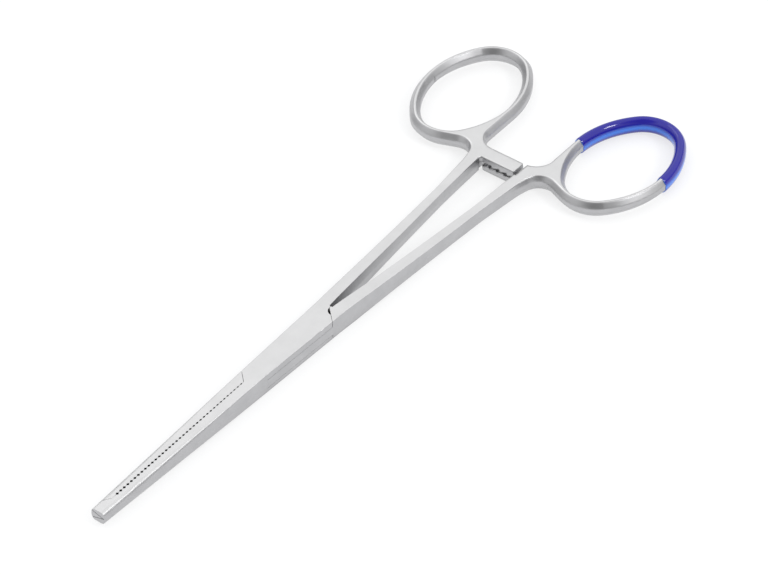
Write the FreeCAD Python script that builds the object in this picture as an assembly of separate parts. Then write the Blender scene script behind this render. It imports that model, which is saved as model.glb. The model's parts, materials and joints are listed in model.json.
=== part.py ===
"""Toothed artery forceps, 160 mm long, closed and lying on a table.

Two drop-forged stainless steel halves cross in a box lock. The box half carries two
plates with a slot between them, and the tongue half passes through that slot on a
thinned waist. A flush pin holds them together. Both end in a finger ring, a ratchet
arm and a serrated jaw, and the far half of one ring is dipped in a coloured coat.

Millimetres. +X points to the jaw tips, +Z up. The origin is on the pin's axis, at the
height of the box lock's lower face, which is the face the instrument rests on.
The halves are modelled about their parting plane and lifted at the end.
"""
import FreeCAD
import Part
import math
import os

Vector = FreeCAD.Vector

# Box lock and jaws, measured from the pin's axis
tip_reach = 57.2
box_thickness = 4.7
box_lap = 0.5
box_start_half_width = 3.45
box_end = 9.6
box_end_half_width = 2.7
tip_half_width = 1.7
tip_thickness = 2.9
forging_draft = 0.11
seam_inner_reach = 13.5
seam_outer_reach = 11.0
slot_outer_reach = 9.3
slot_thickness = 2.15
seam_gap = 0.1
slot_play = 0.05
relief_radius = 1.55
relief_depth = 0.45
relief_run = 1.1
jaw_gap = 0.04

# Serrations across both jaws
serration_pitch = 1.034
serration_count = 37
serration_last = 51.5
serration_width = 0.78
serration_depth_near = 0.16
serration_depth_far = 0.34

# Tip teeth: one tooth on the tongue half enters a notch between two on the box half
tooth_seam_inner = 53.0
tooth_seam_outer = 55.6
tooth_start = 54.0
tooth_apex = 1.2
tooth_slope = 0.3
tooth_gap = 0.12

# Pin
pin_radius = 1.15
pin_play = 0.04

# Finger rings, as ovals of four arcs round a centre line, with an eight-sided bar
ring_centre_x = -86.6
ring_centre_y = 19.33
ring_half_length = 15.55
ring_half_width = 10.47
ring_end_radius = 7.6
ring_flare = 3.8
ring_bar_width = 2.3
ring_bar_flat = 0.5
ring_side_height = 1.2
ring_thickness = 3.6

# Shanks, as places on their inner and outer edges, and their thickness seen from the side
shank_bend_inner = (-26.0, 1.25)
shank_middle_inner = (-56.5, 3.75)
shank_middle_outer = (-56.5, 6.05)
shank_neck_outer = (-66.0, 7.0)
shank_bend_radius = 60.0
shank_middle = -44.0
shank_middle_thickness = 3.44
shank_taper_start = -17.0

# Neck between shank, ring and ratchet arm
neck_start = -69.5
neck_corner_outer = (-73.2, 8.7)
neck_fillet_outer = 3.1
neck_corner_inner = (-73.5, 7.7)
neck_fillet_inner = 3.9
neck_blend = 12.0
neck_bevel_share = 0.4

# Ratchet arms
arm_near = -69.8
arm_near_height = 4.45
arm_reach = 4.2
arm_step = 5.0
arm_step_run = 0.4
arm_corner_fillet = 0.6
arm_end_round = 0.3
ratchet_teeth = 3
ratchet_pitch = 1.95
ratchet_height = 0.55
ratchet_fall = 0.25
ratchet_gap = 0.12

# Coat on the far half of the tongue half's ring, with a section of many sides
coat_thickness = 0.16
coat_sides = 12
coat_start = -86.6

# Edge rounding
least_radius = 0.05
handle_edge_round = 0.2
edge_round = 0.25
tip_edge_round = 0.95

# Sizes that follow from the ones above
box_start = -seam_inner_reach - box_lap
box_half_height = box_thickness / 2
ring_half_height = ring_thickness / 2
ring_side_half_height = ring_side_height / 2
ring_bevel = (ring_bar_width - ring_bar_flat) / (ring_thickness - ring_side_height)
box_taper = (box_end_half_width - box_start_half_width) / (box_end - box_start)
clear_of_part = 3 * box_start_half_width

# A face counts as level, so as a top or bottom face, when its normal's Z is above this
level_normal = 0.95


def box_half_width(x):
    """Half width of the box lock at mid height, at a distance x from the pin."""
    return box_end_half_width + box_taper * (x - box_end)


# Helpers for outlines


def prism(points, low, high):
    """Upright prism over a closed outline of straight edges, between two heights."""
    corners = [Vector(x, y, low) for x, y in points]
    face = Part.Face(Part.makePolygon(corners + corners[:1]))
    return face.extrude(Vector(0, 0, high - low))


def block(low, high):
    """Box between two opposite corners."""
    size = [b - a for a, b in zip(low, high)]
    return Part.makeBox(*size, Vector(*low))


def turned(points):
    """The same outline turned half a turn about the pin."""
    return [(-x, -y) for x, y in points]


def middle(edge):
    """Point halfway along an edge."""
    return edge.valueAt((edge.FirstParameter + edge.LastParameter) / 2)


def one_solid(shape):
    """The largest solid of a boolean result, with its coplanar faces joined."""
    return max(shape.removeSplitter().Solids, key=lambda solid: solid.Volume)


def tangent_point(point, centre, radius, side):
    """Where the line from a point touches a circle. side is +1 or -1."""
    dx, dy = point[0] - centre[0], point[1] - centre[1]
    angle = math.atan2(dy, dx) + side * math.acos(radius / math.hypot(dx, dy))
    return centre[0] + radius * math.cos(angle), centre[1] + radius * math.sin(angle)


def inset_at(height, bevel_share):
    """How far a forged side stands in from the parting line at a height.

    A share of 0 is the plain draft of the shanks, and 1 the bevel of the rings. A side
    that lies inside the part has no share, and stays where it is.
    """
    if bevel_share is None:
        return 0
    plain = forging_draft * abs(height)
    bevel = ring_bevel * max(0, abs(height) - ring_side_half_height)
    return plain + (bevel - plain) * bevel_share


def inset_corners(corners, height):
    """Outline at a height, of a plate whose sides are drafted. It runs anticlockwise."""
    moved = []
    for index, (x, y, radius, share) in enumerate(corners):
        before, after = corners[index - 1], corners[(index + 1) % len(corners)]
        first = Vector(x - before[0], y - before[1], 0).normalize()
        second = Vector(after[0] - x, after[1] - y, 0).normalize()
        turn = first.cross(second).z
        first_inset = inset_at(height, before[3])
        second_inset = inset_at(height, share)
        shift = (second * first_inset - first * second_inset) / turn
        if radius > 0:
            grow = math.copysign((first_inset + second_inset) / 2, turn)
            radius = max(radius - grow, least_radius)
        moved.append((x + shift.x, y + shift.y, radius))
    return moved


def rounded_outline(corners, height):
    """Closed wire of lines and tangent arcs through corners given as x, y, radius."""
    count = len(corners)
    ends = []
    for index, (x, y, radius) in enumerate(corners):
        here = Vector(x, y, height)
        back = (Vector(*corners[index - 1][:2], height) - here).normalize()
        ahead = (Vector(*corners[(index + 1) % count][:2], height) - here).normalize()
        half = back.getAngle(ahead) / 2
        run = radius / math.tan(half)
        inward = (back + ahead).normalize() if radius > 0 else Vector()
        crown = here + inward * (radius / math.sin(half) - radius) if radius > 0 else here
        ends.append((here + back * run, crown, here + ahead * run, radius))
    edges = []
    for index, (start, crown, stop, radius) in enumerate(ends):
        if radius > 0:
            edges.append(Part.Arc(start, crown, stop).toShape())
        edges.append(Part.LineSegment(stop, ends[(index + 1) % count][0]).toShape())
    return Part.Wire(edges)


def drafted(corners, half_height):
    """Forged plate: widest at the parting plane, with its sides drafted or bevelled."""
    side = ring_side_half_height
    heights = [-half_height, -side, 0, side, half_height]
    wires = [rounded_outline(inset_corners(corners, height), height) for height in heights]
    return Part.makeLoft(wires, True, True)


# Box lock and jaws as one bar


def bar_section(x, half_width, half_height):
    """Six-sided forged section: flat top and bottom, sides drafted to a middle ridge."""
    flat = half_width - forging_draft * half_height
    outline = [
        (half_width, 0),
        (flat, half_height),
        (-flat, half_height),
        (-half_width, 0),
        (-flat, -half_height),
        (flat, -half_height),
    ]
    corners = [Vector(x, y, z) for y, z in outline]
    return Part.makePolygon(corners + corners[:1])


def rounded_along(solid, near_radius, far_radius):
    """Bar with its four long flat-side edges rounded, from one radius to another."""
    length = solid.BoundBox.XLength
    for across in (-1, 1):
        for up in (-1, 1):
            long_edges = [
                edge
                for edge in solid.Edges
                if edge.BoundBox.XLength > length / 2
                and middle(edge).y * across > 0
                and middle(edge).z * up > 0
            ]
            edge = max(long_edges, key=lambda item: abs(middle(item).y) + abs(middle(item).z))
            radii = (near_radius, far_radius)
            if edge.valueAt(edge.FirstParameter).x > edge.valueAt(edge.LastParameter).x:
                radii = (far_radius, near_radius)
            solid = solid.makeFillet(*radii, [edge])
    return solid


def make_bar():
    """Box lock and both jaws as one tapered bar, before it is parted into two halves."""
    start = bar_section(box_start, box_start_half_width, box_half_height)
    shoulder = bar_section(box_end, box_end_half_width, box_half_height)
    tip = bar_section(tip_reach, tip_half_width, tip_thickness / 2)
    box = Part.makeLoft([start, shoulder], True, True)
    jaws = Part.makeLoft([shoulder, tip], True, True)
    jaws = rounded_along(jaws, edge_round, tip_edge_round)
    box = rounded_along(box, edge_round, edge_round)
    return box.fuse(jaws)


# Plan outlines that part the bar. Both seams are the same line, half a turn apart.
seam_side = -box_half_width(seam_outer_reach)
seam_far = (2 * seam_outer_reach - seam_inner_reach, 2 * seam_side)
slot_far = (2 * slot_outer_reach - seam_inner_reach, -2 * seam_side)
tooth_far = (2 * tooth_seam_outer - tooth_seam_inner, -2 * tip_half_width)
beyond_tip = tip_reach + 1
shank_end = -seam_inner_reach - seam_gap


def tongue_jaw_outline():
    """Plan of the tongue half's jaw, from its shoulder at the seam to past the tip."""
    half_gap = seam_gap / 2
    return [
        (seam_inner_reach + half_gap, -jaw_gap / 2),
        (seam_far[0] + half_gap, seam_far[1]),
        (beyond_tip, seam_far[1]),
        (beyond_tip, -jaw_gap / 2),
    ]


def box_outline():
    """Plan of the box half inside the bar: its plates and its jaw."""
    half_gap = seam_gap / 2
    return [
        (box_start, seam_far[1]),
        (seam_far[0] - half_gap, seam_far[1]),
        (seam_inner_reach - half_gap, jaw_gap / 2),
        (beyond_tip, jaw_gap / 2),
        (beyond_tip, -seam_far[1]),
        (-seam_far[0] + half_gap, -seam_far[1]),
        (-seam_inner_reach + half_gap, -jaw_gap / 2),
        (box_start, -jaw_gap / 2 - seam_gap),
    ]


def seam_relief():
    """Cylinder that rounds out the plates where the shanks part, beside the seam."""
    corner = Vector(-seam_inner_reach, 0, -box_half_height)
    along = Vector(seam_inner_reach - seam_far[0], -seam_far[1], 0).normalize()
    aside = Vector(-along.y, along.x, 0)
    centre = corner + along * relief_run + aside * (relief_radius - relief_depth)
    return Part.makeCylinder(relief_radius, box_thickness, centre, Vector(0, 0, 1))


def waist_outline(gap):
    """Plan of the tongue's waist in the slot, or of the slot itself with a gap added."""
    side = [
        (seam_inner_reach + gap, 0),
        (slot_far[0] + gap, slot_far[1]),
        (-seam_inner_reach - gap, slot_far[1]),
    ]
    return side + turned(side)


def tip_teeth_outline(gap):
    """Plan of the tip that belongs to the box half's two teeth."""
    return [
        (tooth_seam_inner - gap, jaw_gap / 2),
        (tooth_far[0] - gap, tooth_far[1]),
        (beyond_tip + 2 * gap, tooth_far[1]),
        (beyond_tip + 2 * gap, jaw_gap / 2),
    ]


def tip_tooth(gap):
    """Wedge of the single middle tooth, or the notch that it enters with a gap added."""
    apex = tooth_apex + gap / tooth_slope
    run = apex + clear_of_part
    points = [
        Vector(tooth_start - gap, apex, 0),
        Vector(tooth_start - gap, -clear_of_part, tooth_slope * run),
        Vector(tooth_start - gap, -clear_of_part, -tooth_slope * run),
    ]
    face = Part.Face(Part.makePolygon(points + points[:1]))
    return face.extrude(Vector(beyond_tip + gap - tooth_start, 0, 0))


def serrations():
    """Row of diamond-shaped grooves along the seam, deeper towards the tip."""
    grooves = []
    for index in range(serration_count):
        share = index / (serration_count - 1)
        depth = serration_depth_near + (serration_depth_far - serration_depth_near) * share
        x = serration_last - (serration_count - 1 - index) * serration_pitch
        half = serration_width / 2
        outline = [(x - half, 0), (x, -depth), (x + half, 0), (x, depth)]
        grooves.append(prism(outline, -box_thickness, box_thickness))
    return Part.makeCompound(grooves)


# Ring, neck, shank and ratchet arm


def oval_arcs(half_length, half_width, end_radius):
    """Centres and radii of the four tangent arcs of an oval that lies along X."""
    side_radius = half_length**2 + half_width**2 - 2 * half_length * end_radius
    side_radius /= 2 * (half_width - end_radius)
    end = half_length - end_radius
    side = side_radius - half_width
    centres = [Vector(end, 0, 0), Vector(0, -side, 0), Vector(-end, 0, 0), Vector(0, side, 0)]
    return centres, [end_radius, side_radius, end_radius, side_radius]


def oval_joints(centres, radii):
    """Points where each arc of an oval passes into the next one."""
    joints = []
    for index in range(4):
        after = (index + 1) % 4
        small, large = sorted((index, after), key=lambda item: radii[item])
        outward = (centres[small] - centres[large]).normalize()
        joints.append(centres[large] + outward * radii[large])
    return joints


def ring_arcs(offset):
    """Arcs of the ring's outline, at an offset from its centre line, after its flare."""
    centres, radii = oval_arcs(ring_half_length, ring_half_width, ring_end_radius)
    flare = FreeCAD.Rotation(Vector(0, 0, 1), -ring_flare)
    middle_point = Vector(ring_centre_x, ring_centre_y, 0)
    centres = [middle_point + flare.multVec(centre) for centre in centres]
    return centres, [radius + offset for radius in radii]


def ring_solid(side, levels):
    """Outside (side 1) or hole (side -1) of a bar round the ring's centre line.

    The levels are pairs of a height and the bar's half width there. Each arc of the oval
    gives a sector, which is its section turned about the arc's centre.
    """
    centres, radii = ring_arcs(0)
    joints = oval_joints(centres, radii)
    sectors = []
    for index, (centre, radius) in enumerate(zip(centres, radii)):
        start, stop = joints[index - 1] - centre, joints[index] - centre
        outward = start.normalize()
        rim = [
            centre + outward * (radius + side * half) + Vector(0, 0, height)
            for height, half in levels
        ]
        axis = [Vector(centre.x, centre.y, rim[-1].z), Vector(centre.x, centre.y, rim[0].z)]
        face = Part.Face(Part.makePolygon(rim + axis + rim[:1]))
        span = math.degrees(outward.getAngle(stop))
        sectors.append(face.revolve(centre, Vector(0, 0, 1), span))
    return sectors[0].fuse(sectors[1:]).removeSplitter()


def bar_levels():
    """Section of the ring's steel bar: eight sides, narrow and flat on top."""
    heights = [
        -ring_half_height,
        -ring_side_half_height,
        ring_side_half_height,
        ring_half_height,
    ]
    return [(height, ring_bar_width / 2 - inset_at(height, 1)) for height in heights]


def coat_levels():
    """Section of the coat: corners on an oval, with flats above, below and beside."""
    step = 2 * math.pi / coat_sides
    half_width = (ring_bar_width / 2 + coat_thickness) / math.cos(step / 2)
    half_height = (ring_half_height + coat_thickness) / math.cos(step / 2)
    count = coat_sides // 2
    angles = [(index - (count - 1) / 2) * step for index in range(count)]
    return [(half_height * math.sin(a), half_width * math.cos(a)) for a in angles]


def half_corners():
    """Plan corners of shank, neck and ratchet arm, anticlockwise, with their radii."""
    centres, radii = ring_arcs(ring_bar_width / 2)
    ring_touch = tangent_point(neck_corner_outer, centres[0][:2], radii[0], 1)
    side_touch = tangent_point(neck_corner_inner, centres[3][:2], radii[3], -1)
    hidden = None
    return [
        (shank_end, box_half_width(shank_end), 0, 0),
        (box_start, box_start_half_width, 0, 0),
        (*shank_middle_outer, shank_bend_radius, 0),
        (*shank_neck_outer, neck_blend, neck_bevel_share),
        (*neck_corner_outer, neck_fillet_outer, 1),
        (*ring_touch, 0, hidden),
        (ring_centre_x, ring_centre_y, 0, hidden),
        (*side_touch, 0, 1),
        (*neck_corner_inner, neck_fillet_inner, 0),
        (neck_corner_inner[0], -arm_reach, arm_end_round, 0),
        (arm_near, -arm_reach, arm_end_round, 0),
        (arm_near, arm_near_height, arm_corner_fillet, 0),
        (*shank_middle_inner, shank_bend_radius, 0),
        (*shank_bend_inner, shank_bend_radius, 0),
        (shank_end, jaw_gap / 2 + seam_gap / 2, 0, hidden),
    ]


def side_profile():
    """Solid that gives shank and neck their thickness: thinnest in mid shank."""
    outer = ring_centre_x - 2 * ring_half_length
    low, high = -box_half_height, box_half_height
    neck, mid = ring_half_height, shank_middle_thickness / 2
    top = [
        Part.LineSegment(Vector(outer, 0, neck), Vector(neck_start, 0, neck)),
        Part.Arc(
            Vector(neck_start, 0, neck),
            Vector(shank_middle, 0, mid),
            Vector(shank_taper_start, 0, high),
        ),
        Part.LineSegment(Vector(shank_taper_start, 0, high), Vector(0, 0, high)),
        Part.LineSegment(Vector(0, 0, high), Vector(0, 0, low)),
        Part.LineSegment(Vector(0, 0, low), Vector(shank_taper_start, 0, low)),
        Part.Arc(
            Vector(shank_taper_start, 0, low),
            Vector(shank_middle, 0, -mid),
            Vector(neck_start, 0, -neck),
        ),
        Part.LineSegment(Vector(neck_start, 0, -neck), Vector(outer, 0, -neck)),
        Part.LineSegment(Vector(outer, 0, -neck), Vector(outer, 0, neck)),
    ]
    face = Part.Face(Part.Wire([curve.toShape() for curve in top]))
    reach = ring_centre_y + 2 * ring_half_width
    face.translate(Vector(0, -reach, 0))
    return face.extrude(Vector(0, 2 * reach, 0))


def ratchet_tooth_row():
    """Catch teeth on top of the lower arm. Their steep faces look back to the neck."""
    root = -ratchet_gap / 2 - ratchet_height
    teeth = []
    for index in range(ratchet_teeth):
        start = -arm_reach + index * ratchet_pitch
        stop = start + ratchet_pitch
        outline = [
            (start, root - edge_round),
            (start, root),
            (stop - ratchet_fall, root + ratchet_height),
            (stop, root),
            (stop, root - edge_round),
        ]
        corners = [Vector(neck_corner_inner[0], y, z) for y, z in outline]
        face = Part.Face(Part.makePolygon(corners + corners[:1]))
        teeth.append(face.extrude(Vector(arm_near - neck_corner_inner[0], 0, 0)))
    return teeth


def is_outer_edge(shape, edge):
    """Whether an edge lies between a level face and a side that faces outwards, to +Y."""
    faces = shape.ancestorsOfType(edge, Part.Face)
    normals = [face.normalAt(*face.Surface.parameter(middle(edge))) for face in faces]
    sides = [normal for normal in normals if abs(normal.z) < level_normal]
    return len(sides) == 1 and sides[0].y > 0


def is_hidden(edge):
    """Whether an edge of the handle's plate ends at the middle of the ring."""
    spoke_end = Vector(ring_centre_x, ring_centre_y, 0)
    ends = [Vector(vertex.X, vertex.Y, 0) for vertex in edge.Vertexes]
    return min((end - spoke_end).Length for end in ends) < ring_end_radius / 2


def make_plate():
    """Shank, neck and ratchet arm as one forged plate, rounded along the outside."""
    plate = drafted(half_corners(), box_half_height).common(side_profile())
    edges = [
        edge
        for edge in plate.Edges
        if is_outer_edge(plate, edge) and not is_hidden(edge)
    ]
    return plate.makeFillet(handle_edge_round, edges)


def make_handle():
    """Ring, neck, shank and lower ratchet arm of the half whose ring is at +Y."""
    plate = make_plate()
    handle = plate.fuse(ring_solid(1, bar_levels())).cut(ring_solid(-1, bar_levels()))
    root = -ratchet_gap / 2 - ratchet_height
    above_arm = block(
        (ring_centre_x, -clear_of_part, root),
        (arm_near + arm_step_run, arm_step, clear_of_part),
    )
    arm_teeth = [tooth.common(plate) for tooth in ratchet_tooth_row()]
    handle = handle.cut(above_arm).fuse(arm_teeth)
    return one_solid(handle)


# The two halves, the pin and the coat
bar = make_bar()
handle = make_handle()
grooves = serrations()
slot_half = slot_thickness / 2
waist_half = slot_half - slot_play


def make_box_half():
    """Half with the two plates. Its ring is at -Y and its jaw at +Y."""
    body = bar.common(prism(box_outline(), -clear_of_part, clear_of_part))
    tip = bar.common(prism(tip_teeth_outline(0), -clear_of_part, clear_of_part))
    body = body.fuse(tip).cut(tip_tooth(tooth_gap))
    body = body.cut(prism(waist_outline(seam_gap / 2), -slot_half, slot_half))
    body = body.fuse(upper_handle()).cut(grooves)
    return one_solid(body.cut([seam_relief(), pin_cylinder(pin_radius)]))


def upper_handle():
    """The handle turned over, so that its ring is at -Y and its ratchet arm on top."""
    copy = handle.copy()
    copy.rotate(Vector(0, 0, 0), Vector(1, 0, 0), 180)
    return copy


def make_tongue_half():
    """Half with the waist. Its ring is at +Y and its jaw at -Y."""
    jaw = prism(tongue_jaw_outline(), -clear_of_part, clear_of_part)
    heel = prism(turned(tongue_jaw_outline()), -clear_of_part, clear_of_part)
    waist = prism(waist_outline(0), -waist_half, waist_half)
    body = bar.common(jaw.fuse([heel, waist]))
    teeth = prism(tip_teeth_outline(seam_gap), -clear_of_part, clear_of_part)
    tooth = bar.common(tip_tooth(0))
    body = body.cut(teeth).fuse([tooth, handle]).cut(grooves)
    return one_solid(body.cut(pin_cylinder(pin_radius + pin_play)))


def pin_cylinder(radius):
    """Cylinder on the pin's axis, as long as the box lock is thick."""
    base = Vector(0, 0, -box_half_height)
    return Part.makeCylinder(radius, box_thickness, base, Vector(0, 0, 1))


def make_coat(metal):
    """Dipped coat round the far half of the ring."""
    tube = ring_solid(1, coat_levels()).cut(ring_solid(-1, coat_levels()))
    far = block(
        (ring_centre_x - 2 * ring_half_length, 0, -clear_of_part),
        (coat_start, 2 * ring_centre_y, clear_of_part),
    )
    return tube.common(far).cut(metal)


tongue_half = make_tongue_half()
parts = {
    "box_half": make_box_half(),
    "tongue_half": tongue_half,
    "joint_pin": pin_cylinder(pin_radius),
    "ring_coat": one_solid(make_coat(tongue_half)),
}

os.makedirs("parts", exist_ok=True)
for name, shape in parts.items():
    shape.translate(Vector(0, 0, box_half_height))
    shape.exportStep("parts/" + name + ".step")
    size = shape.BoundBox
    print(
        name,
        "valid" if shape.isValid() else "not valid",
        f"{shape.Volume:.1f} mm3, {len(shape.Solids)} solid, {len(shape.Faces)} faces,",
        f"{size.XLength:.2f} x {size.YLength:.2f} x {size.ZLength:.2f} mm",
    )
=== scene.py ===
# %% [markdown]
# # Locking forceps on a white table
#
# The object is a pair of straight artery forceps, 160 mm long: two satin steel halves
# that cross in a box lock, with a deep blue coat on the far half of one finger ring.
# The shapes come from the CAD frame, where every edge has its real size. Blender adds
# what makes steel look like steel: the grain of the blasted surface, the difference
# between ground flats and forged sides, the studio and the camera. Only the coat is
# built again here.

# %% Load the CAD frame
import json
import math

import bmesh
import bpy
from mathutils import Matrix, Vector


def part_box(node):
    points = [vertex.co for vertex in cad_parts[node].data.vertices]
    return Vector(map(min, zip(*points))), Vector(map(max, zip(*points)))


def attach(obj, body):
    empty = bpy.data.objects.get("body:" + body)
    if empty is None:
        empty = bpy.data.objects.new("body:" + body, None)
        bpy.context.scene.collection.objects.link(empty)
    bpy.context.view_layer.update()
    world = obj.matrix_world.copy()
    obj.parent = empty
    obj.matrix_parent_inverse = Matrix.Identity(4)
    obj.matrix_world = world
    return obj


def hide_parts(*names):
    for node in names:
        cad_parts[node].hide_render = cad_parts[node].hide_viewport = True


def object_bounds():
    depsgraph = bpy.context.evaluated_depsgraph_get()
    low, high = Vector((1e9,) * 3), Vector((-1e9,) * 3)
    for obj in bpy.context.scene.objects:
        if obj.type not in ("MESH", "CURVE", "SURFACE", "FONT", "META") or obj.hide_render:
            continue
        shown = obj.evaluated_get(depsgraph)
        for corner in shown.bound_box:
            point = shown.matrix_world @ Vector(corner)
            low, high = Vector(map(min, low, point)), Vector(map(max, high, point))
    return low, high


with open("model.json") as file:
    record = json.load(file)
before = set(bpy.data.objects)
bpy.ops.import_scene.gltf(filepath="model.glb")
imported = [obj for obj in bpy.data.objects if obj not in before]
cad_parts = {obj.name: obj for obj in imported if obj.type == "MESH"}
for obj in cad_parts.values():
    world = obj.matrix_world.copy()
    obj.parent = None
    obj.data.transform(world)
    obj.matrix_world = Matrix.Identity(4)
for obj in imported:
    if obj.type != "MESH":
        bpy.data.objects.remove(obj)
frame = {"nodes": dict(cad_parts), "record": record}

cad_low, cad_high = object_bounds()
MM = 0.001
print("CAD box in mm:", [round(size / MM, 2) for size in cad_high - cad_low])
print("nodes:", sorted(frame["nodes"]))

# %% [markdown]
# ## The camera
#
# The view is a long lens from above the jaws' right side, as in a catalogue photograph.
# A camera could be placed by hand until the picture looks right. Here it is aimed: a
# point on the instrument, two angles and a distance say where it stands, and a small
# roll finishes the framing. That is easier to correct than three raw coordinates.

# %% Aim the camera
AIM = Vector((-26.90, 3.40, 2.35)) * MM
AZIMUTH, ELEVATION = math.radians(38.42), math.radians(41.89)
DISTANCE = 806.7 * MM
ROLL = math.radians(-0.885)
LENS, SENSOR_WIDTH = 187.5, 36
NEAREST, FARTHEST = 0.01, 20

away = Vector(
    (
        math.cos(AZIMUTH) * math.cos(ELEVATION),
        math.sin(AZIMUTH) * math.cos(ELEVATION),
        math.sin(ELEVATION),
    )
)
camera = bpy.data.objects.new("camera", bpy.data.cameras.new("camera"))
bpy.context.scene.collection.objects.link(camera)
camera.data.lens = LENS
camera.data.sensor_width = SENSOR_WIDTH
camera.data.clip_start, camera.data.clip_end = NEAREST, FARTHEST
turn = (-away).to_track_quat("-Z", "Y").to_matrix() @ Matrix.Rotation(ROLL, 3, "Z")
camera.matrix_world = Matrix.Translation(AIM + away * DISTANCE) @ turn.to_4x4()
bpy.context.scene.camera = camera
print("camera stands at mm:", [round(c / MM, 1) for c in camera.location])

# %% [markdown]
# ## The white table
#
# The instrument lies on a plain white surface that has no visible edge, and only a soft
# shadow shows where it touches. A floor lit until it burns out would light the steel far
# too much. So the lamps stay at a plain level, and the floor mixes some even white into
# what the camera and the metal see of it, which lifts it to white and keeps the shadow.


# %% Small helpers for node trees
def link(tree, source, target):
    """Joins an output socket to an input socket."""
    tree.links.new(source, target)


def new_material(name):
    """An empty node material with its output."""
    material = bpy.data.materials.new(name)
    material.use_nodes = True
    tree = material.node_tree
    tree.nodes.clear()
    output = tree.nodes.new("ShaderNodeOutputMaterial")
    return material, tree, output


def add(tree, kind, **settings):
    """A new node with its plain settings."""
    node = tree.nodes.new(kind)
    for key, value in settings.items():
        setattr(node, key, value)
    return node


def mix_shader(tree, factor, first, second):
    """Blends two shaders by a factor socket."""
    mix = add(tree, "ShaderNodeMixShader")
    for source, target in zip((factor, first, second), mix.inputs):
        link(tree, source, target)
    return mix.outputs[0]


def background_rays(tree):
    """1 for the rays that look at the background: from the camera, metal and glass."""
    ray = add(tree, "ShaderNodeLightPath")
    either = add(tree, "ShaderNodeMath", operation="ADD")
    seen = add(tree, "ShaderNodeMath", operation="ADD", use_clamp=True)
    link(tree, ray.outputs["Is Camera Ray"], either.inputs[0])
    link(tree, ray.outputs["Is Glossy Ray"], either.inputs[1])
    link(tree, either.outputs[0], seen.inputs[0])
    link(tree, ray.outputs["Is Transmission Ray"], seen.inputs[1])
    return seen.outputs[0]


# %% Lay the table
FLOOR_SIZE = 6.0
FLOOR_GAP = 0.02 * MM
PAPER_WHITE = (0.97, 0.97, 0.975, 1)
PURE_WHITE = (1, 1, 1, 1)
EVEN_WHITE = 0.66


def table_material():
    """White paper with a share of even white for what looks at the background."""
    material, tree, output = new_material("white_table")
    paper = add(tree, "ShaderNodeBsdfDiffuse")
    paper.inputs["Color"].default_value = PAPER_WHITE
    even = add(tree, "ShaderNodeEmission")
    even.inputs["Color"].default_value = PURE_WHITE
    even.inputs["Strength"].default_value = 1.0
    share = add(tree, "ShaderNodeMath", operation="MULTIPLY")
    share.inputs[1].default_value = EVEN_WHITE
    link(tree, background_rays(tree), share.inputs[0])
    mixed = mix_shader(tree, share.outputs[0], paper.outputs[0], even.outputs[0])
    link(tree, mixed, output.inputs["Surface"])
    return material


bpy.ops.mesh.primitive_plane_add(size=FLOOR_SIZE, location=(0, 0, cad_low.z - FLOOR_GAP))
floor = bpy.context.object
floor.name = "table"
floor.data.materials.append(table_material())
print("table top at mm:", round(floor.location.z / MM, 3))

# %% [markdown]
# ## The light
#
# A white tent stands round the table in such photographs. Most of the light comes from
# the tent itself, a large soft lamp at the left helps, and a small bright lamp at the far
# right is the window that glossy curves show. Metal looks like what it reflects, so an
# even tent would make it flat. In its reflections the tent fades to grey near the table,
# and it has a dark opening at the place from which the photograph was taken. The opening
# stays there when the view changes. It gives bent edges their dark bands.

# %% Pitch the tent
TENT_LIGHT = 1.08
TENT_TINT = (0.98, 0.99, 1, 1)
TENT_FOOT, TENT_WHITE_FROM = 0.2, 0.45
OPENING_DARK = 0.2
OPENING_RIM, OPENING_HEART = 0.72, 0.96


def smooth_range(tree, value, start, stop, low, high):
    """Turns a value smoothly from low at its start to high at its stop."""
    node = add(tree, "ShaderNodeMapRange", interpolation_type="SMOOTHSTEP")
    limits = (("From Min", start), ("From Max", stop), ("To Min", low), ("To Max", high))
    for label, limit in limits:
        node.inputs[label].default_value = limit
    link(tree, value, node.inputs["Value"])
    return node.outputs["Result"]


def reflected_tent(tree):
    """Brightness of the tent by direction: grey at its foot, dark in its opening."""
    direction = add(tree, "ShaderNodeTexCoord").outputs["Generated"]
    height = add(tree, "ShaderNodeSeparateXYZ")
    link(tree, direction, height.inputs[0])
    toward_opening = add(tree, "ShaderNodeVectorMath", operation="DOT_PRODUCT")
    toward_opening.inputs[1].default_value = away
    link(tree, direction, toward_opening.inputs[0])
    wall = smooth_range(tree, height.outputs["Z"], 0.0, TENT_WHITE_FROM, TENT_FOOT, 1.0)
    opening = smooth_range(
        tree, toward_opening.outputs["Value"], OPENING_RIM, OPENING_HEART, 1.0, OPENING_DARK
    )
    both = add(tree, "ShaderNodeMath", operation="MULTIPLY")
    link(tree, wall, both.inputs[0])
    link(tree, opening, both.inputs[1])
    return both.outputs[0]


def tent_world():
    """Even light for the object, pure white for the camera, the tent for reflections."""
    world = bpy.data.worlds.new("tent")
    world.use_nodes = True
    tree = world.node_tree
    tree.nodes.clear()
    output = add(tree, "ShaderNodeOutputWorld")
    ray = add(tree, "ShaderNodeLightPath")
    strength = add(tree, "ShaderNodeMath", operation="MAXIMUM")
    link(tree, reflected_tent(tree), strength.inputs[0])
    link(tree, ray.outputs["Is Camera Ray"], strength.inputs[1])
    seen = add(tree, "ShaderNodeBackground")
    seen.inputs["Color"].default_value = PURE_WHITE
    link(tree, strength.outputs[0], seen.inputs["Strength"])
    lighting = add(tree, "ShaderNodeBackground")
    lighting.inputs["Color"].default_value = TENT_TINT
    lighting.inputs["Strength"].default_value = TENT_LIGHT
    mixed = mix_shader(tree, background_rays(tree), lighting.outputs[0], seen.outputs[0])
    link(tree, mixed, output.inputs["Surface"])
    return world


bpy.context.scene.world = tent_world()
print("world:", bpy.context.scene.world.name)


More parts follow.
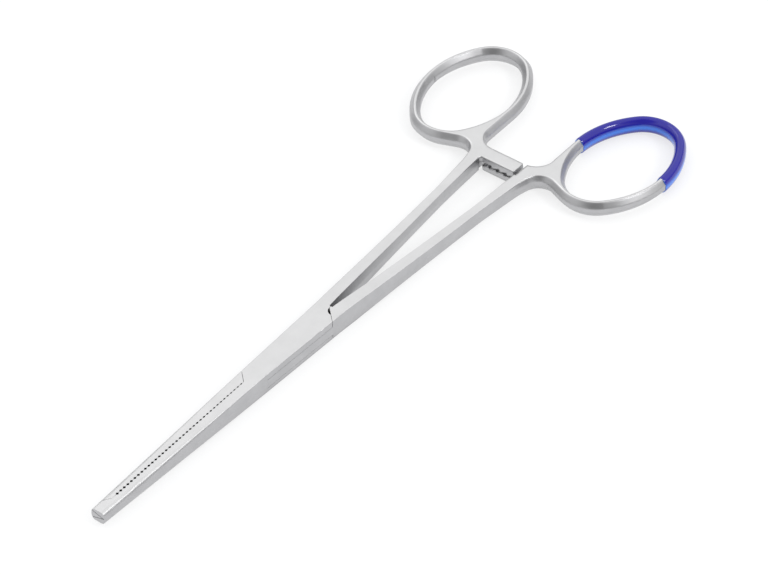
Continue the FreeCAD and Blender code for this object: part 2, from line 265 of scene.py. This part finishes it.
# %% Hang the lamps
def soft_lamp(name, place, size, power):
    """A square lamp that looks at the middle of the instrument."""
    lamp = bpy.data.objects.new(name, bpy.data.lights.new(name, "AREA"))
    bpy.context.scene.collection.objects.link(lamp)
    lamp.data.shape = "SQUARE"
    lamp.data.size = size
    lamp.data.energy = power
    lamp.location = place
    lamp.rotation_euler = (AIM - Vector(place)).to_track_quat("-Z", "Y").to_euler()
    return lamp


lamps = [
    soft_lamp("left_lamp", place=(-0.2, -1.4, 1.4), size=1.0, power=2.8),
    soft_lamp("far_right_lamp", place=(-0.22, 1.05, 0.98), size=0.3, power=4.2),
]
print("lamps:", [lamp.name for lamp in lamps])

# %% [markdown]
# ## Satin steel
#
# Surgical steel of this kind is blasted with fine beads: pale, dull and even, with a
# grain far finer than a millimetre, and a little cloudy where the beads fell thicker.
# The ground flats above and below are painted brighter than the forged sides: partly a
# duller forged finish, partly painted shade for the dark reflections that the sides catch.
# The rings and necks are softened by hand. Grain, side mask and softened normal are node
# groups, so that the coat can use the first two with its own values.


# %% Group: blasted grain
def new_group(name, inputs, outputs):
    """A shader node group with named sockets: (name, default) in, (name, kind) out."""
    group = bpy.data.node_groups.new(name, "ShaderNodeTree")
    for label, default in inputs:
        socket = group.interface.new_socket(
            label, in_out="INPUT", socket_type="NodeSocketFloat"
        )
        socket.default_value = default
    for label, kind in outputs:
        group.interface.new_socket(label, in_out="OUTPUT", socket_type=kind)
    return group, group.nodes.new("NodeGroupInput"), group.nodes.new("NodeGroupOutput")


def grain_group():
    """Fine beads and slow clouds, from the place on the surface in metres."""
    group, given, result = new_group(
        "blasted_grain",
        [("Beads per metre", 5000), ("Clouds per metre", 260)],
        [("Beads", "NodeSocketFloat"), ("Clouds", "NodeSocketFloat")],
    )
    place = add(group, "ShaderNodeTexCoord")
    beads = add(group, "ShaderNodeTexNoise")
    beads.inputs["Detail"].default_value = 2
    clouds = add(group, "ShaderNodeTexNoise")
    clouds.inputs["Detail"].default_value = 4
    clouds.inputs["Roughness"].default_value = 0.6
    for label, noise in (("Beads", beads), ("Clouds", clouds)):
        link(group, place.outputs["Object"], noise.inputs["Vector"])
        link(group, given.outputs[label + " per metre"], noise.inputs["Scale"])
        link(group, noise.outputs["Fac"], result.inputs[label])
    return group


blasted_grain = grain_group()
print("group:", blasted_grain.name)


# %% Group: sides for painted shade and sheen
def painted_light_sides_group():
    """Mask for painted shade and sheen: 0 on the ground flats above and below, 1 on the forged
    sides between them.
    """
    group, given, result = new_group(
        "sides_for_painted_light",
        [("Flat from", 0.93), ("Side below", 0.55)],
        [("Side", "NodeSocketFloat")],
    )
    place = add(group, "ShaderNodeNewGeometry")
    parts = add(group, "ShaderNodeSeparateXYZ")
    level = add(group, "ShaderNodeMath", operation="ABSOLUTE")
    side = add(group, "ShaderNodeMapRange", interpolation_type="SMOOTHSTEP")
    link(group, place.outputs["True Normal"], parts.inputs[0])
    link(group, parts.outputs["Z"], level.inputs[0])
    link(group, level.outputs[0], side.inputs["Value"])
    link(group, given.outputs["Flat from"], side.inputs["From Min"])
    link(group, given.outputs["Side below"], side.inputs["From Max"])
    link(group, side.outputs["Result"], result.inputs["Side"])
    return group


sides_for_painted_light = painted_light_sides_group()
print("group:", sides_for_painted_light.name)


# %% Group: hand-softened rings
def rings_group():
    """A normal that is rounded over the edges of rings and neck, and true elsewhere."""
    group, given, result = new_group(
        "softened_rings",
        [("Radius", 0.7 * MM), ("Sharp from", -62 * MM), ("Soft below", -70 * MM)],
        [("Normal", "NodeSocketVector")],
    )
    place = add(group, "ShaderNodeTexCoord")
    parts = add(group, "ShaderNodeSeparateXYZ")
    soft = add(group, "ShaderNodeMapRange")
    rounded = add(group, "ShaderNodeBevel", samples=8)
    true = add(group, "ShaderNodeNewGeometry")
    blend = add(group, "ShaderNodeMix", data_type="VECTOR")
    link(group, place.outputs["Object"], parts.inputs[0])
    link(group, parts.outputs["X"], soft.inputs["Value"])
    link(group, given.outputs["Sharp from"], soft.inputs["From Min"])
    link(group, given.outputs["Soft below"], soft.inputs["From Max"])
    link(group, given.outputs["Radius"], rounded.inputs["Radius"])
    link(group, soft.outputs["Result"], blend.inputs["Factor"])
    link(group, true.outputs["Normal"], blend.inputs["A"])
    link(group, rounded.outputs["Normal"], blend.inputs["B"])
    link(group, blend.outputs["Result"], result.inputs["Normal"])
    return group


softened_rings = rings_group()
print("group:", softened_rings.name)


# %% Helpers for finishes
def use_group(tree, group, **values):
    """Places a node group in a material and gives its inputs their values."""
    node = tree.nodes.new("ShaderNodeGroup")
    node.node_tree = group
    for label, value in values.items():
        node.inputs[label.replace("_", " ")].default_value = value
    return node


def mix_colour(tree, factor, first, second):
    """Blends two colours by a factor socket. Each is a colour or a colour output."""
    node = add(tree, "ShaderNodeMix", data_type="RGBA")
    link(tree, factor, node.inputs["Factor"])
    for socket, value in ((node.inputs["A"], first), (node.inputs["B"], second)):
        if isinstance(value, tuple):
            socket.default_value = value
        else:
            link(tree, value, socket)
    return node.outputs["Result"]


def span(tree, value, low, high):
    """Maps a value from 0..1 to low..high."""
    node = add(tree, "ShaderNodeMapRange")
    node.inputs["To Min"].default_value = low
    node.inputs["To Max"].default_value = high
    link(tree, value, node.inputs["Value"])
    return node.outputs["Result"]


def raised(tree, height, strength, distance):
    """A Bump node that raises a height socket by a distance in metres."""
    bump = add(tree, "ShaderNodeBump")
    bump.inputs["Strength"].default_value = strength
    bump.inputs["Distance"].default_value = distance
    link(tree, height, bump.inputs["Height"])
    return bump


# %% The steel material
# The side colours are painted darker than the flat ones: partly a duller forged finish, partly
# painted shade for the dark reflections that the sides catch.
GROUND_STEEL = ((0.68, 0.68, 0.685, 1), (0.78, 0.78, 0.785, 1))
FORGED_AND_SHADED_STEEL = ((0.44, 0.44, 0.45, 1), (0.55, 0.55, 0.56, 1))
STEEL_ROUGHNESS = (0.34, 0.44)
# Painted shade: how far ambient occlusion reaches, and how dark it paints the crevices.
CREVICE_SHADE_REACH, CREVICE_SHADE_DARK = 0.6 * MM, 0.25
BEAD_STRENGTH, BEAD_DEPTH = 0.2, 0.03 * MM


def steel_material():
    """Blasted steel with painted shade in its crevices, and sides darker from painted shade
    and a duller forged finish.
    """
    material, tree, output = new_material("blasted_steel")
    steel = add(tree, "ShaderNodeBsdfPrincipled")
    steel.inputs["Metallic"].default_value = 1
    grain = use_group(tree, blasted_grain)
    side_shade_mask = use_group(tree, sides_for_painted_light)
    flat = mix_colour(tree, grain.outputs["Clouds"], *GROUND_STEEL)
    dull_and_shaded = mix_colour(tree, grain.outputs["Clouds"], *FORGED_AND_SHADED_STEEL)
    # Painted shade: the sides take the darker colour, partly a duller forged finish too.
    colour = mix_colour(tree, side_shade_mask.outputs["Side"], flat, dull_and_shaded)
    # Painted shade: ambient occlusion darkens the steel's colour in crevices, seams and
    # serrations.
    crevice_shade = add(tree, "ShaderNodeAmbientOcclusion", samples=8)
    crevice_shade.inputs["Distance"].default_value = CREVICE_SHADE_REACH
    crevice_shade_factor = span(tree, crevice_shade.outputs["AO"], CREVICE_SHADE_DARK, 1.0)
    shaded = add(tree, "ShaderNodeMix", data_type="RGBA", blend_type="MULTIPLY")
    shaded.inputs["Factor"].default_value = 1
    link(tree, colour, shaded.inputs["A"])
    link(tree, crevice_shade_factor, shaded.inputs["B"])
    link(tree, shaded.outputs["Result"], steel.inputs["Base Color"])
    roughness = span(tree, grain.outputs["Beads"], *STEEL_ROUGHNESS)
    link(tree, roughness, steel.inputs["Roughness"])
    beads = raised(tree, grain.outputs["Beads"], BEAD_STRENGTH, BEAD_DEPTH)
    rings = use_group(tree, softened_rings)
    link(tree, rings.outputs["Normal"], beads.inputs["Normal"])
    link(tree, beads.outputs["Normal"], steel.inputs["Normal"])
    link(tree, steel.outputs[0], output.inputs["Surface"])
    return material


satin_steel = steel_material()
print("material:", satin_steel.name)

# %% [markdown]
# ## The blue coat: its shape
#
# One ring is half dipped in thick blue plastic, which marks the instrument. The dip runs
# round the bar while it is wet, so its section is a smooth oval, with no trace of the
# bar's edges, and it ends in a thin rounded rim. The CAD coat has flat strips, which a
# glossy finish would show. So this one piece is built again as a mesh: an oval section
# that is swept along the same three arcs as the ring. A bevelled curve could do that
# too, but a mesh lets the section shrink at both rims.

# %% Find the ring's middle line
coat_low, coat_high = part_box("ring_coat")
mounts = frame["record"]["mounts"]
ring_mount = next(mount for mount in mounts if mount["name"] == "coated_ring")
RING_MIDDLE = Vector(ring_mount["pos_m"])
RING_HALF_LENGTH, RING_HALF_WIDTH = 15.55 * MM, 10.47 * MM
RING_END_RADIUS = 7.6 * MM
RING_FLARE = math.radians(3.8)

side_radius = RING_HALF_LENGTH**2 + RING_HALF_WIDTH**2 - 2 * RING_HALF_LENGTH * RING_END_RADIUS
side_radius /= 2 * (RING_HALF_WIDTH - RING_END_RADIUS)
flare = Matrix.Rotation(-RING_FLARE, 3, "Z")
to_side = Vector((0, side_radius - RING_HALF_WIDTH, 0))
to_end = Vector((RING_HALF_LENGTH - RING_END_RADIUS, 0, 0))
near_centre = RING_MIDDLE - flare @ to_side
far_centre = RING_MIDDLE - flare @ to_end
low_centre = RING_MIDDLE + flare @ to_side
joint = math.atan2(to_end.x, to_side.y)


def start_angle(centre):
    """Angle on a side arc at which the coat begins: level with the ring's middle."""
    return math.acos((RING_MIDDLE.x - centre.x) / side_radius)


turn_in = math.pi / 2 + joint - RING_FLARE
turn_out = 3 * math.pi / 2 - joint - RING_FLARE
COAT_ARCS = [
    (near_centre, side_radius, start_angle(near_centre), turn_in),
    (far_centre, RING_END_RADIUS, turn_in, turn_out),
    (low_centre, side_radius, turn_out, 2 * math.pi - start_angle(low_centre)),
]
coat_length = sum(radius * (stop - start) for centre, radius, start, stop in COAT_ARCS)
print("coat length in mm:", round(coat_length / MM, 2))

# %% Sweep the coat
COAT_HALF_WIDTH = 1.305 * MM
COAT_HALF_HEIGHT = (coat_high.z - coat_low.z) / 2
STEP = 0.3 * MM
AROUND = 40
RIM_RUN, RIM_SHRINK = 0.35 * MM, 0.06
RIM_EDGE = math.radians(50)


def coat_section(mesh, centre, radius, angle, travelled):
    """One oval row of vertices, smaller where it is close to a rim."""
    outward = Vector((math.cos(angle), math.sin(angle), 0))
    to_rim = min(1, min(travelled, coat_length - travelled) / RIM_RUN)
    size = 1 - RIM_SHRINK * (1 - math.sqrt(1 - (1 - max(to_rim, 0)) ** 2))
    row = []
    for index in range(AROUND):
        turn = 2 * math.pi * index / AROUND
        across = outward * (radius + size * COAT_HALF_WIDTH * math.cos(turn))
        up = Vector((0, 0, size * COAT_HALF_HEIGHT * math.sin(turn)))
        row.append(mesh.verts.new(centre + across + up))
    return row


shape = bmesh.new()
rows, travelled = [], 0.0
for centre, radius, start, stop in COAT_ARCS:
    count = math.ceil(radius * (stop - start) / STEP)
    for index in range(0 if not rows else 1, count + 1):
        angle = start + (stop - start) * index / count
        passed = travelled + radius * (angle - start)
        rows.append(coat_section(shape, centre, radius, angle, passed))
    travelled += radius * (stop - start)
for row, following in zip(rows, rows[1:]):
    for index in range(AROUND):
        after = (index + 1) % AROUND
        shape.faces.new((row[index], row[after], following[after], following[index]))
shape.faces.new(rows[0])
shape.faces.new(reversed(rows[-1]))
bmesh.ops.recalc_face_normals(shape, faces=shape.faces)
coat_mesh = bpy.data.meshes.new("dipped_coat")
shape.to_mesh(coat_mesh)
shape.free()
coat_mesh.shade_smooth()
coat_mesh.set_sharp_from_angle(angle=RIM_EDGE)
coat = bpy.data.objects.new("dipped_coat", coat_mesh)
bpy.context.scene.collection.objects.link(coat)
print("coat:", len(coat_mesh.polygons), "faces")

# %% [markdown]
# ## The blue coat: its finish
#
# The plastic is deep blue where it lies thick on top. Its steep sides are clearer and
# painted lighter: partly the plastic draining thin there, partly painted sheen for the pale
# reflections along its edges. The colour could be one blue with a strong gloss, but the
# sides would then look as dark as the top. A sharp clear coat over the plastic shows the
# window lamp, and slow clouds in bump and colour keep the dip from looking turned.

# %% The coat material
DEEP_BLUE = ((0.010, 0.008, 0.24, 1), (0.018, 0.013, 0.31, 1))
# Painted sheen: the lighter blue of the steep sides, partly thin plastic too.
THIN_AND_SHEEN_BLUE = (0.035, 0.18, 0.70, 1)
PLASTIC_ROUGHNESS = (0.06, 0.12)
PLASTIC_IOR = 1.42
GLOSS_SHARE, GLOSS_ROUGHNESS = 0.4, 0.03
WAVE_STRENGTH, WAVE_DEPTH = 0.15, 0.2 * MM


def coat_material():
    """Dipped glossy plastic, deep blue, its steep sides lighter from painted sheen and thin
    plastic.
    """
    material, tree, output = new_material("dipped_plastic")
    plastic = add(tree, "ShaderNodeBsdfPrincipled")
    plastic.inputs["IOR"].default_value = PLASTIC_IOR
    plastic.inputs["Coat Weight"].default_value = GLOSS_SHARE
    plastic.inputs["Coat Roughness"].default_value = GLOSS_ROUGHNESS
    grain = use_group(tree, blasted_grain, Beads_per_metre=900, Clouds_per_metre=120)
    side = use_group(tree, sides_for_painted_light, Flat_from=0.36, Side_below=0.0)
    deep = mix_colour(tree, grain.outputs["Clouds"], *DEEP_BLUE)
    # Painted sheen: the side mask turns the steep sides lighter.
    colour = mix_colour(tree, side.outputs["Side"], deep, THIN_AND_SHEEN_BLUE)
    link(tree, colour, plastic.inputs["Base Color"])
    roughness = span(tree, grain.outputs["Beads"], *PLASTIC_ROUGHNESS)
    link(tree, roughness, plastic.inputs["Roughness"])
    waves = raised(tree, grain.outputs["Clouds"], WAVE_STRENGTH, WAVE_DEPTH)
    link(tree, waves.outputs["Normal"], plastic.inputs["Normal"])
    link(tree, plastic.outputs[0], output.inputs["Surface"])
    return material


blue_coat = coat_material()
coat_mesh.materials.append(blue_coat)
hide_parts("ring_coat")
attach(coat, "tongue_side")
print("material:", blue_coat.name)

# %% [markdown]
# ## Dress the CAD pieces
#
# The two halves and the pin keep the meshes that the CAD made, with its own normals, so
# curved faces are smooth and edges crisp. They only get their finish.

# %% Give each piece its finish
FINISHES = {
    "box_half": (satin_steel, "satin_steel"),
    "tongue_half": (satin_steel, "satin_steel"),
    "joint_pin": (satin_steel, "satin_steel"),
}

for name, (finish, slot) in FINISHES.items():
    piece = frame["nodes"][name]
    piece.data.materials.clear()
    piece.data.materials.append(finish)
    print(name, len(piece.data.polygons), "faces,", finish.name)

# %% [markdown]
# ## Finish
#
# The view transform stays plain, so that white is white.

# %% Finish
bpy.context.scene.view_settings.view_transform = "Standard"
